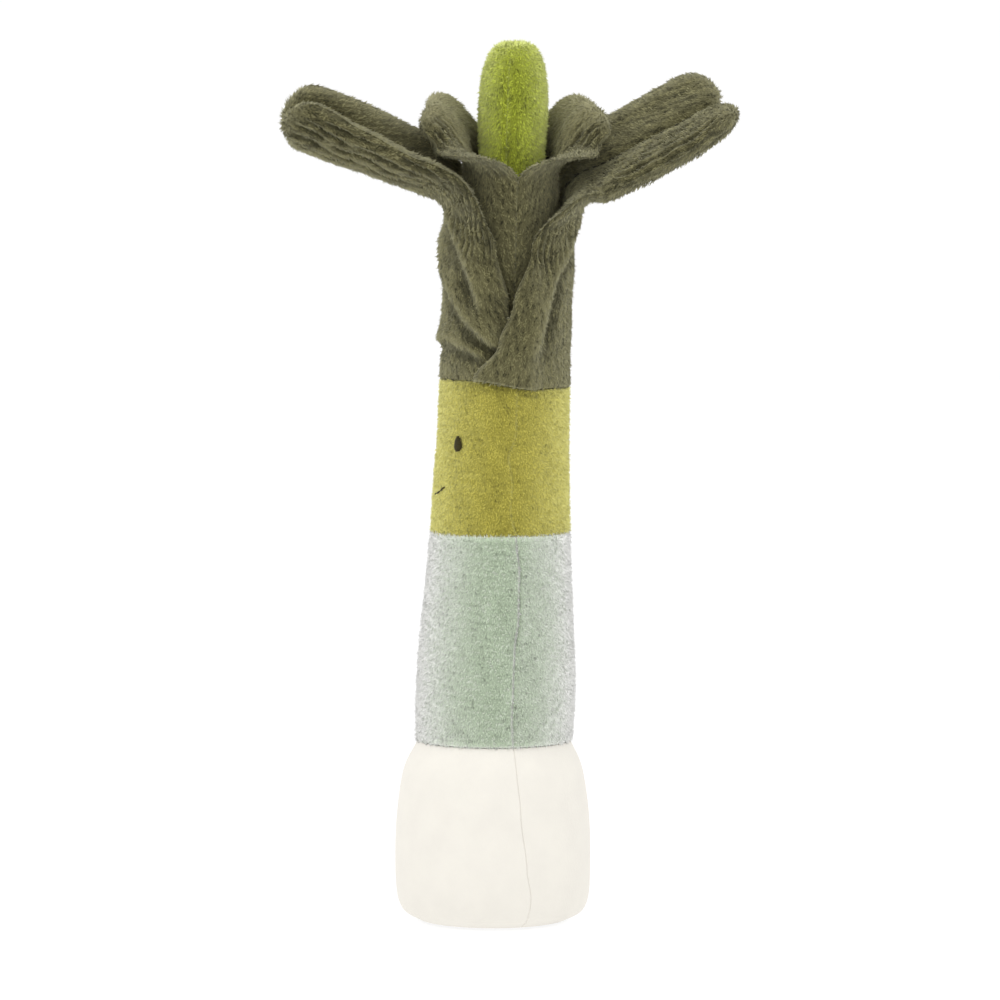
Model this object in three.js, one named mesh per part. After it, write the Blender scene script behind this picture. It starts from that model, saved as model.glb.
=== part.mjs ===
// A plush leek toy that stands upright on a round bottom panel, its stitched face towards -Y.
// A white base, a mint band and a yellow green face band make the stem. Two long dark green leaves wrap
// its upper part and bend outwards, two short ones curl inside them, and a bright green bud fills the top.
// The origin is the middle of the bottom face and +Z is up. All sizes are in millimetres.
import * as THREE from 'three';
import { LoftGeometry } from 'three/addons/geometries/LoftGeometry.js';

// Heights of the seams between the bands, and of the bud.
const BASE_SEAM = 61.6;
const MINT_SEAM = 132.4;
const LEAF_SEAM = 182.6;
const BUD_BOTTOM = 240;
const BUD_TOP = 300;

// Plush cloth with its pile, the gap kept between pieces that are sewn together, and how far each band
// stops short of the seam it shares with the next.
const CLOTH = 2.4;
const GAP = 0.3;
const SEAM_ROOM = 0.2;

// Outer outline of each band as radius and height, from its lower seam to its upper one.
const BASE_OUTLINE = [
  [25.4, 0.6],
  [31.2, 4.6],
  [33.2, 15],
  [32.7, 35],
  [30.4, 51.5],
  [26.4, BASE_SEAM - SEAM_ROOM],
];
const MINT_OUTLINE = [
  [26.7, BASE_SEAM + SEAM_ROOM],
  [27.5, 76],
  [26.2, 99],
  [24.8, 118],
  [24.1, MINT_SEAM - SEAM_ROOM],
];
const FACE_OUTLINE = [
  [24.0, MINT_SEAM + SEAM_ROOM],
  [23.4, 143],
  [22.8, 162.5],
  [22.4, LEAF_SEAM - GAP],
];
const BUD_OUTLINE = [
  [0, BUD_BOTTOM],
  [8.6, BUD_BOTTOM + 1.6],
  [11.0, BUD_BOTTOM + 8],
  [11.8, 262],
  [12.3, 275],
  [11.3, 289],
  [7.6, 297.5],
  [0, BUD_TOP],
];

// Flat bottom panel, pellet pouch with its rounded edges, and the stuffing: the room it keeps to the cloth,
// its floor over the pouch, its shoulder and neck in the base, and how far its ends stay from the leaf seam
// and from the bud.
const BOTTOM_RADIUS = 22;
const BOTTOM_THICKNESS = 2.2;
const POUCH_TOP = 24;
const POUCH_RADIUS = 26;
const POUCH_FLOOR_RADIUS = 21;
const POUCH_LOWER_EDGE = 6;
const POUCH_UPPER_EDGE = 4;
const POUCH_SHOULDER = 5;
const STUFFING_ROOM = 1;
const STUFFING_FLOOR_RADIUS = 29.5;
const STUFFING_FLOOR_RISE = 1;
const STUFFING_SHOULDER = [27.8, 46];
const STUFFING_NECK = 1.5;
const STUFFING_COLLAR = 3;
const STUFFING_TOP_ROOM = [3, 1];
const SLEEVE_ROOM = 12.3;
const BUD_ROOM = 0.6;

// The stem leans a little to the back.
const LEAN_START = 50;
const LEAN_HEIGHT = 200;
const LEAN_AT_COLLAR = 6.1;

// Face: angles are measured around the stem from the middle of the face.
const EYE_HEIGHT = 163;
const EYE_ANGLE = THREE.MathUtils.degToRad(39);
const EYE_HALF_WIDTH = 1.7;
const EYE_HALF_HEIGHT = 2.6;
const SMILE_HEIGHT = 145.3;
const SMILE_RISE = 3;
const SMILE_ANGLE = THREE.MathUtils.degToRad(23.5);
const FACE_RADIUS = 23.1;
const SMILE_RADIUS = 23.3;
const THREAD = 0.5;

// Cloth of the leaves: half of the doubled thickness in the sheath and in the padded blade, how far the
// midrib stitching pinches it, and its thickness where the two layers end at the edge.
const SHEATH_HALF = 1.9;
const EDGE_HALF = 1.1;
const LAYER_GAP = 1.6;
const MIDRIB_PINCH = 0.42;
const MIDRIB_WIDTH = 0.2;
const CREASE_WIDTH = 3;

// Distances along a leaf from its lower end: where its midrib's pinch starts and is full, and where an
// overlapping edge is still lifted and no longer. OVERLAP is the distance out from the midrib over which the
// lift comes in.
const PINCH = [60, 80];
const LIFTED = [28, 50];
const OVERLAP = [21, 29];

// The end of a leaf: the stretch over which it thins, the width left at its end and the room kept to it.
const TIP_THINNING = 8;
const TIP_WIDTH = 0.6;
const TIP_ROOM = 0.4;

// The midrib stitching: where it starts along the leaf, how far from the leaf's end it stops and how far
// its middle stands off the pinched cloth.
const STITCHING_START = 66;
const STITCHING_END = 9;
const STITCHING_RAISE = 3.3;

// Each leaf is drawn pointing to +Y and then turned about Z. rise is the height where it starts to bend,
// bend the radius of that bend, turn its angle and blade the straight length after it. halfWidth, curl,
// wingPlus and wingMinus are stations along the leaf from its lower end: half of the width, the radius the
// cloth curls in at, and the angle in degrees at which the half on +X or -X stands off the midrib. padding
// is where the filling starts and is full. lift carries an overlapping edge over the other leaf.
const OUTER_LEAVES = {
  back: {
    heading: 0,
    sheathRadius: 20.6,
    rise: 237.2,
    bend: 18,
    turn: 62,
    blade: 49.7,
    bladeHalf: 5.2,
    halfWidth: [[0, 45.3], [14, 37.6], [27, 33.6], [46, 27.6], [60, 23.5], [84, 20.5]],
    wingPlus: [[52, 0], [72, -27], [104, -27], [128, -14]],
    wingMinus: [[60, 0], [86, 44], [122, 48]],
    curl: [[46, 20.6], [88, 70]],
    padding: [50, 86],
    tip: 10,
    lift: 3.4,
  },
  front: {
    heading: Math.PI,
    sheathRadius: 20.6,
    rise: 235.4,
    bend: 14,
    turn: 70.5,
    blade: 53.5,
    bladeHalf: 4.8,
    halfWidth: [[0, 37], [28, 29.6], [44, 25.2], [60, 21.5], [78, 20.5], [110, 21.5]],
    wingPlus: [[54, 0], [76, 64], [106, 86], [122, 84]],
    wingMinus: [[58, 0], [76, 13], [100, 22], [122, 32]],
    curl: [[46, 20.6], [88, 70]],
    padding: [50, 86],
    tip: 10,
    lift: -1.7,
  },
};
const INNER_TOWARDS = [[70, 0], [86, 20]];
const INNER_AWAY = [[73, 0], [91, -42]];
const INNER_LEAF = {
  sheathRadius: 14.7,
  rise: 255,
  bend: 24,
  blade: 4.3,
  bladeHalf: 4.4,
  halfWidth: [[0, 21.8], [74, 21.8], [89, 15.5], [102, 15]],
  curl: [[70, 14.7], [88, 60]],
  padding: [76, 98],
  tip: 8,
  lift: 0,
};
const INNER_LEAVES = {
  back: { ...INNER_LEAF, heading: 0, turn: 54, wingPlus: INNER_AWAY, wingMinus: INNER_TOWARDS },
  front: { ...INNER_LEAF, heading: Math.PI, turn: 56, wingPlus: INNER_TOWARDS, wingMinus: INNER_AWAY },
};

// How finely the shapes are stepped. A leaf's rings lie closer together towards its tip by RING_CROWDING.
const OUTLINE_STEPS = 6;
const BUD_STEPS = 9;
const ROUND_STEPS = 12;
const EYE_STEPS = { round: 10, high: 7 };
const THREAD_STEPS = { round: 3, length: 12 };
const STITCHING_POINTS = [0, 0.25, 0.5, 0.75, 1];
const SMILE_POINTS = [-1, -0.5, 0, 0.5, 1];
const OUTER_STEPS = { wing: 6, length: 20 };
const INNER_STEPS = { wing: 4, length: 14 };
const RING_CROWDING = 0.12;

const COLOURS = {
  white: 0xf4f0e7,
  mint: 0xb2bfa9,
  face: 0xa49c4b,
  leaf: 0x615e46,
  bud: 0x858c3a,
  eye: 0x3a3a1c,
  thread: 0x3f4128,
  filling: 0xf4f2ee,
  pouch: 0xd9d4c8,
};

function cloth(colour) {
  return new THREE.MeshStandardMaterial({ color: colour, roughness: 0.95, metalness: 0 });
}

// How far the stem's middle has moved to +Y at a height.
function lean(z) {
  return LEAN_AT_COLLAR * Math.max(0, (z - LEAN_START) / LEAN_HEIGHT);
}

function leaning(x, y, z) {
  return new THREE.Vector3(x, y + lean(z), z);
}

// A value read between stations [position, value], easing from each station to the next.
function along(stations, position) {
  let value = stations[0][1];
  for (let i = 1; i < stations.length; i++) {
    const [start, startValue] = stations[i - 1];
    const [end, endValue] = stations[i];
    value += (endValue - startValue) * THREE.MathUtils.smoothstep(position, start, end);
  }
  return value;
}

// 0 before a span [start, end], 1 after it, and a smooth step between.
function passed(span, position) {
  return THREE.MathUtils.smoothstep(position, span[0], span[1]);
}

function outline(points, steps) {
  return new THREE.SplineCurve(points.map(([r, z]) => new THREE.Vector2(r, z))).getPoints(steps);
}

// The inner face of a wall: the outline moved in along its own normal.
function insetOutline(points, distance) {
  return points.map((point, i) => {
    const before = points[Math.max(0, i - 1)];
    const after = points[Math.min(points.length - 1, i + 1)];
    const run = after.clone().sub(before).normalize();
    return new THREE.Vector2(Math.max(0, point.x - run.y * distance), point.y + run.x * distance);
  });
}

// Half of a round wall, on the +Y side for side 1 and on the -Y side for side -1. Its closed section of
// outer and inner outline is carried round half a turn.
function halfWall(outer, inner, side) {
  const section = [...outer].reverse().concat(inner);
  const start = side > 0 ? 0 : Math.PI;
  const sections = [];
  for (let i = 0; i <= ROUND_STEPS; i++) {
    const angle = start + (Math.PI * i) / ROUND_STEPS;
    const shift = (side * GAP) / 2;
    sections.push(section.map((p) => leaning(p.x * Math.cos(angle), p.x * Math.sin(angle) + shift, p.y)));
  }
  return new LoftGeometry(sections, { capStart: true, capEnd: true });
}

// A straight wall keeps its seam edges level, so its inner face has the same heights as its outer face.
function bandWalls(points) {
  const outer = outline(points, OUTLINE_STEPS);
  const inner = outer.map((p) => new THREE.Vector2(p.x - CLOTH, p.y));
  return { outer, inner };
}

// A solid of revolution about the leaning middle of the stem.
function turned(points) {
  const geometry = new THREE.LatheGeometry(points.map(([r, z]) => new THREE.Vector2(r, z)), ROUND_STEPS);
  geometry.rotateX(Math.PI / 2);
  const position = geometry.getAttribute('position');
  for (let i = 0; i < position.count; i++) {
    position.setY(i, position.getY(i) + lean(position.getZ(i)));
  }
  return geometry;
}

// The midrib of a leaf at a distance along it: its place in the Y Z plane and its direction there.
function midrib(leaf, distance) {
  const straight = leaf.rise - LEAF_SEAM - GAP;
  const fullTurn = THREE.MathUtils.degToRad(leaf.turn);
  const arc = leaf.bend * fullTurn;
  const turn = Math.min(Math.max((distance - straight) / leaf.bend, 0), fullTurn);
  const rest = Math.max(distance - straight - arc, 0);
  const y = leaf.sheathRadius + leaf.bend * (1 - Math.cos(turn)) + rest * Math.sin(turn);
  const up = Math.min(distance, straight) + leaf.bend * Math.sin(turn) + rest * Math.cos(turn);
  return { y, z: LEAF_SEAM + GAP + up, turn };
}

function leafLength(leaf) {
  return leaf.rise - LEAF_SEAM - GAP + leaf.bend * THREE.MathUtils.degToRad(leaf.turn) + leaf.blade;
}

// 1 along the leaf, falling to 0 over its last stretch as a quarter ellipse.
function tipRounding(leaf, distance, stretch) {
  const share = Math.max(0, (distance - leafLength(leaf) + stretch) / stretch);
  return Math.sqrt(Math.max(0, 1 - share * share));
}

// Half of the leaf's thickness at a share of its half width.
function halfThickness(leaf, distance, share) {
  const full = SHEATH_HALF + (leaf.bladeHalf - SHEATH_HALF) * passed(leaf.padding, distance);
  const padded = full * tipRounding(leaf, distance, TIP_THINNING);
  const pinch = MIDRIB_PINCH * passed(PINCH, distance);
  const groove = 1 - pinch * Math.exp(-Math.pow(share / MIDRIB_WIDTH, 2));
  const rounding = Math.sqrt(Math.max(0, 1 - Math.pow(Math.abs(share), 4)));
  return EDGE_HALF + (padded - EDGE_HALF) * rounding * groove;
}

// One half of a leaf's cross-section, walked out from the midrib. The cloth starts at the wing's angle and
// keeps curling in, so that in the sheath it follows the round stem.
function wing(leaf, distance, side, steps) {
  const width = along(leaf.halfWidth, distance) * tipRounding(leaf, distance, leaf.tip) + TIP_WIDTH;
  const angle = THREE.MathUtils.degToRad(along(side > 0 ? leaf.wingPlus : leaf.wingMinus, distance));
  const curl = 1 / along(leaf.curl, distance);
  const points = [];
  let x = 0;
  let inward = 0;
  for (let i = 0; i <= steps; i++) {
    const share = i / steps;
    const out = width * share;
    const slope = angle * THREE.MathUtils.smoothstep(out, 0, CREASE_WIDTH) + curl * out;
    if (i > 0) {
      const middle = out - width / steps / 2;
      const middleSlope = angle * THREE.MathUtils.smoothstep(middle, 0, CREASE_WIDTH) + curl * middle;
      x += (Math.cos(middleSlope) * width) / steps;
      inward += (Math.sin(middleSlope) * width) / steps;
    }
    const overlap = passed(OVERLAP, out) * (1 - passed(LIFTED, distance));
    const half = halfThickness(leaf, distance, share);
    points.push({ x: side * x, inward, slope: side * slope, half, lift: leaf.lift * overlap });
  }
  return points;
}

// One ring of a leaf layer: its upper face from the -X edge to the +X edge, then its lower face back.
// The lining lies on the inner side of the midplane and the outside layer on the other.
function leafRing(leaf, distance, layer, steps) {
  const spine = midrib(leaf, distance);
  const minus = wing(leaf, distance, -1, steps).slice(1).reverse();
  const across = minus.concat(wing(leaf, distance, 1, steps));
  const heading = new THREE.Matrix4().makeRotationZ(leaf.heading);
  const place = (p, offset) => {
    const x = p.x - Math.sin(p.slope) * (offset - p.lift);
    const inward = p.inward + Math.cos(p.slope) * (offset - p.lift);
    const y = spine.y - Math.cos(spine.turn) * inward;
    const z = spine.z + Math.sin(spine.turn) * inward;
    const turnedPoint = new THREE.Vector3(x, y, z).applyMatrix4(heading);
    return leaning(turnedPoint.x, turnedPoint.y, turnedPoint.z);
  };
  const isLining = layer === 'lining';
  const upper = across.map((p) => place(p, isLining ? p.half : -LAYER_GAP / 2));
  const lower = across.map((p) => place(p, isLining ? LAYER_GAP / 2 : -p.half));
  return upper.concat(lower.reverse());
}

function leafLayer(leaf, layer, steps) {
  const rings = [];
  const length = leafLength(leaf) - TIP_ROOM;
  for (let i = 0; i <= steps.length; i++) {
    const share = i / steps.length;
    const distance = length * (share + RING_CROWDING * Math.sin(Math.PI * share));
    rings.push(leafRing(leaf, distance, layer, steps.wing));
  }
  return new LoftGeometry(rings, { capStart: true, capEnd: true });
}

// A round thread along a curve.
function thread(points) {
  const section = new THREE.Shape();
  section.absarc(0, 0, THREAD, 0, 2 * Math.PI, false);
  return new THREE.ExtrudeGeometry(section, {
    steps: THREAD_STEPS.length,
    curveSegments: THREAD_STEPS.round,
    extrudePath: new THREE.CatmullRomCurve3(points),
  });
}

// The midrib stitching lies in the groove of the blade's upper face, halfway between the leaf's two wings.
function midribStitching(leaf) {
  const end = leafLength(leaf) - STITCHING_END;
  const heading = new THREE.Matrix4().makeRotationZ(leaf.heading);
  const points = STITCHING_POINTS.map((share) => {
    const distance = STITCHING_START + (end - STITCHING_START) * share;
    const spine = midrib(leaf, distance);
    const plus = THREE.MathUtils.degToRad(along(leaf.wingPlus, distance));
    const minus = THREE.MathUtils.degToRad(along(leaf.wingMinus, distance));
    const above = halfThickness(leaf, distance, 0) / Math.cos((plus + minus) / 2) + GAP + STITCHING_RAISE;
    const x = -Math.sin((plus - minus) / 2) * above;
    const inward = Math.cos((plus - minus) / 2) * above;
    const y = spine.y - Math.cos(spine.turn) * inward;
    const z = spine.z + Math.sin(spine.turn) * inward;
    const p = new THREE.Vector3(x, y, z).applyMatrix4(heading);
    return leaning(p.x, p.y, p.z);
  });
  return thread(points);
}

function smile() {
  const reach = SMILE_RADIUS + GAP + THREAD;
  const points = SMILE_POINTS.map((share) => {
    const angle = -Math.PI / 2 + share * SMILE_ANGLE;
    const height = SMILE_HEIGHT + SMILE_RISE * share * share;
    return leaning(reach * Math.cos(angle), reach * Math.sin(angle), height);
  });
  return thread(points);
}

const leek = new THREE.Group();

function add(parent, name, geometry, colour) {
  const mesh = new THREE.Mesh(geometry, cloth(colour));
  mesh.name = name;
  parent.add(mesh);
  return mesh;
}

// Stem: bottom panel, three bands of two panels, and what fills them.
const stem = new THREE.Group();
const bottom = new THREE.CylinderGeometry(BOTTOM_RADIUS, BOTTOM_RADIUS, BOTTOM_THICKNESS, 2 * ROUND_STEPS);
bottom.rotateX(Math.PI / 2);
add(stem, 'bottom_panel', bottom, COLOURS.white).position.z = BOTTOM_THICKNESS / 2;
const BANDS = [
  ['base_panel', BASE_OUTLINE, COLOURS.white],
  ['mint_panel', MINT_OUTLINE, COLOURS.mint],
  ['face_panel', FACE_OUTLINE, COLOURS.face],
];
for (const [name, points, colour] of BANDS) {
  const { outer, inner } = bandWalls(points);
  add(stem, name + '_front', halfWall(outer, inner, -1), colour);
  add(stem, name + '_back', halfWall(outer, inner, 1), colour);
}
const pouchFloor = BOTTOM_THICKNESS + GAP;
const pouch = [
  [0, pouchFloor],
  [POUCH_FLOOR_RADIUS, pouchFloor],
  [POUCH_RADIUS, pouchFloor + POUCH_LOWER_EDGE],
  [POUCH_RADIUS, POUCH_TOP - POUCH_UPPER_EDGE],
  [POUCH_RADIUS - POUCH_SHOULDER, POUCH_TOP],
  [0, POUCH_TOP],
];
add(stem, 'pellet_pouch', turned(pouch), COLOURS.pouch);
const inside = CLOTH + STUFFING_ROOM;
const filling = [
  [0, POUCH_TOP + GAP],
  [STUFFING_FLOOR_RADIUS, POUCH_TOP + GAP + STUFFING_FLOOR_RISE],
  STUFFING_SHOULDER,
  [BASE_OUTLINE[5][0] - inside - STUFFING_NECK, BASE_SEAM],
  [MINT_OUTLINE[1][0] - inside, MINT_OUTLINE[1][1]],
  [MINT_OUTLINE[4][0] - inside, MINT_SEAM],
  [FACE_OUTLINE[3][0] - inside, LEAF_SEAM - STUFFING_COLLAR],
  [SLEEVE_ROOM, LEAF_SEAM],
  [SLEEVE_ROOM, BUD_BOTTOM - STUFFING_TOP_ROOM[0]],
  [0, BUD_BOTTOM - STUFFING_TOP_ROOM[1]],
];
add(stem, 'stem_stuffing', turned(filling), COLOURS.filling);
leek.add(stem);

// Face: two stitched eyes and a stitched smile.
const face = new THREE.Group();
for (const [name, side] of [['eye_left', 1], ['eye_right', -1]]) {
  const eye = new THREE.SphereGeometry(1, EYE_STEPS.round, EYE_STEPS.high);
  eye.scale(EYE_HALF_WIDTH, THREAD, EYE_HALF_HEIGHT);
  const angle = side * EYE_ANGLE;
  const reach = FACE_RADIUS + GAP + THREAD;
  const mesh = add(face, name, eye, COLOURS.eye);
  mesh.rotation.z = angle;
  mesh.position.copy(leaning(reach * Math.sin(angle), -reach * Math.cos(angle), EYE_HEIGHT));
}
add(face, 'smile', smile(), COLOURS.eye);
leek.add(face);

// Leaves: an outside layer and a lining each, and the stitched midribs of the long ones.
const leaves = new THREE.Group();
for (const [place, leaf] of Object.entries(OUTER_LEAVES)) {
  add(leaves, 'outer_leaf_' + place + '_outside', leafLayer(leaf, 'outside', OUTER_STEPS), COLOURS.leaf);
  add(leaves, 'outer_leaf_' + place + '_lining', leafLayer(leaf, 'lining', OUTER_STEPS), COLOURS.leaf);
  add(leaves, 'midrib_stitching_' + place, midribStitching(leaf), COLOURS.thread);
}
for (const [place, leaf] of Object.entries(INNER_LEAVES)) {
  add(leaves, 'inner_leaf_' + place + '_outside', leafLayer(leaf, 'outside', INNER_STEPS), COLOURS.leaf);
  add(leaves, 'inner_leaf_' + place + '_lining', leafLayer(leaf, 'lining', INNER_STEPS), COLOURS.leaf);
}
leek.add(leaves);

// Bud: a closed pill of two panels around its stuffing.
const bud = new THREE.Group();
const budOuter = outline(BUD_OUTLINE, BUD_STEPS);
add(bud, 'bud_panel_front', halfWall(budOuter, insetOutline(budOuter, CLOTH), -1), COLOURS.bud);
add(bud, 'bud_panel_back', halfWall(budOuter, insetOutline(budOuter, CLOTH), 1), COLOURS.bud);
const budStuffing = insetOutline(budOuter, CLOTH + BUD_ROOM).map((p) => [p.x, p.y]);
add(bud, 'bud_stuffing', turned(budStuffing), COLOURS.filling);
leek.add(bud);

export default leek;
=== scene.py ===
"""Plush leek toy: padded panels, draped leaves and a bud, with a brushed pile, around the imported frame.

Shapes are worked out in millimetres and written in metres. The face looks to -Y and the toy leans to +Y.
"""

import bpy
import numpy as np
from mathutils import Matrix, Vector


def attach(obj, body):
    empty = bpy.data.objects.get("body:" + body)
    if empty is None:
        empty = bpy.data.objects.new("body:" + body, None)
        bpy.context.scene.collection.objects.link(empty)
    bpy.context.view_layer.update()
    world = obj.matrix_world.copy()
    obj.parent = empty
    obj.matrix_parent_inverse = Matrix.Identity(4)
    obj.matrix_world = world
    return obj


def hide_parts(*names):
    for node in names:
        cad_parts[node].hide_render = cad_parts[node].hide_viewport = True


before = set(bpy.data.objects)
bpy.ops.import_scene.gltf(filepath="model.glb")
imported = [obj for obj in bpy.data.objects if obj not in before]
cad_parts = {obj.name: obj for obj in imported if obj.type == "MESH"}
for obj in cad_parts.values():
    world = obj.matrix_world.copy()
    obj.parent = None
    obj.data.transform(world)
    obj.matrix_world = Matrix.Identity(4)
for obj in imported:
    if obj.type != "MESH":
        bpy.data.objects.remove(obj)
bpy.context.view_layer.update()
MM = 0.001

# Heights of the seams, as in the frame.
BASE_SEAM = 61.6
MINT_SEAM = 132.4
LEAF_SEAM = 182.6

# Outer outline of each band: radius and height.
BASE_OUTLINE = ((25.4, 0.6), (31.2, 4.6), (33.2, 15.0), (32.7, 35.0), (30.4, 51.5), (25.9, 61.5))
MINT_OUTLINE = ((26.9, 61.55), (27.5, 76.0), (26.2, 99.0), (24.8, 118.0), (24.1, 132.35))
FACE_OUTLINE = ((24.0, 132.5), (23.4, 143.0), (22.8, 162.5), (22.4, 182.6))
BUD_OUTLINE = (
    (0.0, 240.0), (8.6, 241.6), (11.0, 248.0), (11.8, 262.0),
    (12.3, 275.0), (11.2, 288.0), (7.4, 296.4), (0.0, 298.9),
)
CLOTH = 2.4
GROOVE = 0.3
PILE_STAND = 0.9

# The stem leans to the back from the lower seam up.
LEAN_START = 50.0
LEAN_HEIGHT = 200.0
LEAN_AT_COLLAR = 6.1

# The leaves' hem dips at the back and rises at the front.
LEAF_SEAM_RADIUS = 22.4
HEM_SWAY = 1.4
HEM_REACH = 9.0

# Face.
FACE_RADIUS = 22.9
EYE_HEIGHT = 163.0
EYE_ANGLE = np.radians(39.0)
EYE_HALF_WIDTH = 1.7
EYE_HALF_HEIGHT = 2.45
SMILE_HEIGHT = 145.3
SMILE_RISE = 3.0
SMILE_ANGLE = np.radians(23.5)


def lean(z):
    """How far the stem's middle has moved to +Y: a straight slant that starts in the base."""
    return LEAN_AT_COLLAR * np.maximum(0.0, (z - LEAN_START) / LEAN_HEIGHT)


def ease(x, low, high):
    """0 below low, 1 above high, and the cubic 3t^2 - 2t^3 in between."""
    t = np.clip((np.asarray(x, float) - low) / (high - low), 0.0, 1.0)
    return t * t * (3.0 - 2.0 * t)


def leaning(points):
    """The points, each moved to +Y by the lean at its height. Near the leaf seam they are also moved down at
    the back and up at the front, so that the leaves' hem isn't quite level.
    """
    moved = np.array(points, float)
    sway = 1.0 - 2.0 * ease(moved[..., 1] / LEAF_SEAM_RADIUS, -0.6, 0.3)
    near_seam = np.exp(-(((moved[..., 2] - LEAF_SEAM) / HEM_REACH) ** 2))
    moved[..., 1] += lean(moved[..., 2])
    moved[..., 2] += HEM_SWAY * sway * near_seam
    return moved


def along(stations, x):
    """A value that eases from each station (place, value) to the next."""
    value = np.full(np.shape(x), float(stations[0][1]))
    for (start, before), (end, after) in zip(stations, stations[1:]):
        value += (after - before) * ease(x, start, end)
    return value


def spline(points, count):
    """count points along a uniform Catmull-Rom curve through the given ones, evenly spaced by length."""
    p = np.asarray(points, float)
    p = np.vstack([2 * p[0] - p[1], p, 2 * p[-1] - p[-2]])
    t = np.linspace(0, len(p) - 3 - 1e-9, 400)
    k = t.astype(int)
    f = (t - k)[:, None]
    a, b, c, d = p[k], p[k + 1], p[k + 2], p[k + 3]
    curve = 0.5 * (2 * b + (c - a) * f + (2 * a - 5 * b + 4 * c - d) * f**2 + (3 * b - a - 3 * c + d) * f**3)
    run = np.concatenate([[0.0], np.cumsum(np.linalg.norm(np.diff(curve, axis=0), axis=1))])
    even = np.linspace(0, run[-1], count)
    return np.stack([np.interp(even, run, curve[:, i]) for i in range(curve.shape[1])], axis=-1)


def wobble(p, size, seed):
    """Smooth noise from -1 to 1 at places p: a sum of sine waves in seeded directions, about size mm long."""
    rng = np.random.default_rng(seed)
    total = np.zeros(p.shape[:-1])
    for _ in range(7):
        way = rng.normal(size=3)
        way *= 2 * np.pi / (size * rng.uniform(0.7, 1.6) * np.linalg.norm(way))
        total += np.sin(p @ way + rng.uniform(0, 2 * np.pi))
    return total / 3.5


def unit(v):
    """The vectors, each at length 1."""
    return v / np.maximum(np.linalg.norm(v, axis=-1, keepdims=True), 1e-9)


class Cloth:
    """A closed padded sheet: a grid of places, the two faces above and below it, and facts for its pile.

    Each face stands off the middle grid along its normal, and the two meet along the grid's border. The
    facts are grids too: nap, the way the pile lies; cover, where there is any; parting, where it opens,
    which the finishes darken as painted shade; tone, how pale it is, painted highlights, shadow and sheen
    included; for ribs, their phase, their strength and the direction across them, with painted shade in
    their valleys; and for the strands that the brush leaves, the distances along them and across them.
    """

    PLAIN = {
        "cover": 1.0, "parting": 0.0, "tone": 0.0, "phase": 0.0, "ribbed": 0.0, "strand": 0.0, "beside": 0.0,
    }

    def __init__(self, middle, normal, above, below, nap, across=None, *, cover_below, ribbed_above=1.0,
                 **facts):
        shape = middle.shape[:2]
        border = np.zeros(shape, bool)
        border[[0, -1], :] = True
        border[:, [0, -1]] = True
        top = np.arange(border.size).reshape(shape)
        under = top.copy()
        under[~border] = border.size + np.arange((~border).sum())
        above = np.where(border, 0.0, above)
        below = np.where(border, 0.0, below)
        self.faces = np.concatenate([quads(top), quads(under)[:, ::-1]])
        self.points = np.concatenate([
            (middle + normal * above[..., None]).reshape(-1, 3),
            (middle - normal * below[..., None])[~border],
        ])
        a, b, c, d = (self.points[self.faces[:, i]] for i in range(4))
        if np.einsum("ij,ij->", a, np.cross(b, c)) + np.einsum("ij,ij->", a, np.cross(c, d)) < 0:
            self.faces = self.faces[:, ::-1]
        grids = {**self.PLAIN, **facts}
        grids = {key: np.broadcast_to(grid, shape) for key, grid in grids.items()}
        self.facts = {key: np.concatenate([grid.ravel(), grid[~border]]) for key, grid in grids.items()}
        self.facts["cover"][border.size:] = np.broadcast_to(cover_below, shape)[~border]
        self.facts["ribbed"][: border.size] *= np.broadcast_to(ribbed_above, shape).ravel()
        ways = (np.broadcast_to(way, middle.shape) for way in (nap, nap if across is None else across))
        self.nap, self.across = (np.concatenate([way.reshape(-1, 3), way[~border]]) for way in ways)
        self.normals = self.vertex_normals()

    def vertex_normals(self):
        """At each vertex, the sum of its faces' normals by area, at length 1."""
        a, b, c, d = (self.points[self.faces[:, i]] for i in range(4))
        face = np.cross(c - a, d - b)
        total = np.zeros_like(self.points)
        for i in range(4):
            np.add.at(total, self.faces[:, i], face)
        return unit(total)


def quads(grid):
    """The grid's cells as rows of four vertex numbers."""
    return np.stack([grid[:-1, :-1], grid[:-1, 1:], grid[1:, 1:], grid[1:, :-1]], axis=-1).reshape(-1, 4)


def make_mesh(name, points, faces, material, attributes=None, uv=None, normals=None):
    """An object at the origin from arrays of points in millimetres and faces of one size."""
    mesh = bpy.data.meshes.new(name)
    sides = faces.shape[1]
    mesh.vertices.add(len(points))
    mesh.vertices.foreach_set("co", (points * MM).astype(np.float32).ravel())
    mesh.loops.add(faces.size)
    mesh.loops.foreach_set("vertex_index", faces.astype(np.int32).ravel())
    mesh.polygons.add(len(faces))
    mesh.polygons.foreach_set("loop_start", np.arange(0, faces.size, sides, dtype=np.int32))
    mesh.update(calc_edges=True)
    mesh.polygons.foreach_set("use_smooth", np.ones(len(faces), bool))
    for key, values in (attributes or {}).items():
        mesh.attributes.new(key, "FLOAT", "POINT").data.foreach_set("value", values.astype(np.float32))
    if uv is not None:
        layer = mesh.uv_layers.new(name="OFBake")
        layer.uv.foreach_set("vector", uv[faces.ravel()].astype(np.float32).ravel())
    if normals is not None:
        mesh.normals_split_custom_set_from_vertices(normals.astype(np.float32))
    mesh.materials.append(material)
    made = bpy.data.objects.new(name, mesh)
    bpy.context.scene.collection.objects.link(made)
    return made


def sewn(piece, nodes=()):
    """Fixes a piece to the frame and hides the nodes it stands for."""
    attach(piece, "root")
    if nodes:
        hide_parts(*nodes)
    return piece


def cloth_piece(name, cloth, material, nodes):
    """The backing of a cloth as a piece, with the facts that its finish reads."""
    shown = {key: cloth.facts[key] for key in ("parting", "tone", "phase", "ribbed")}
    made = make_mesh(name, cloth.points, cloth.faces, material, shown)
    return sewn(made, nodes)


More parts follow.
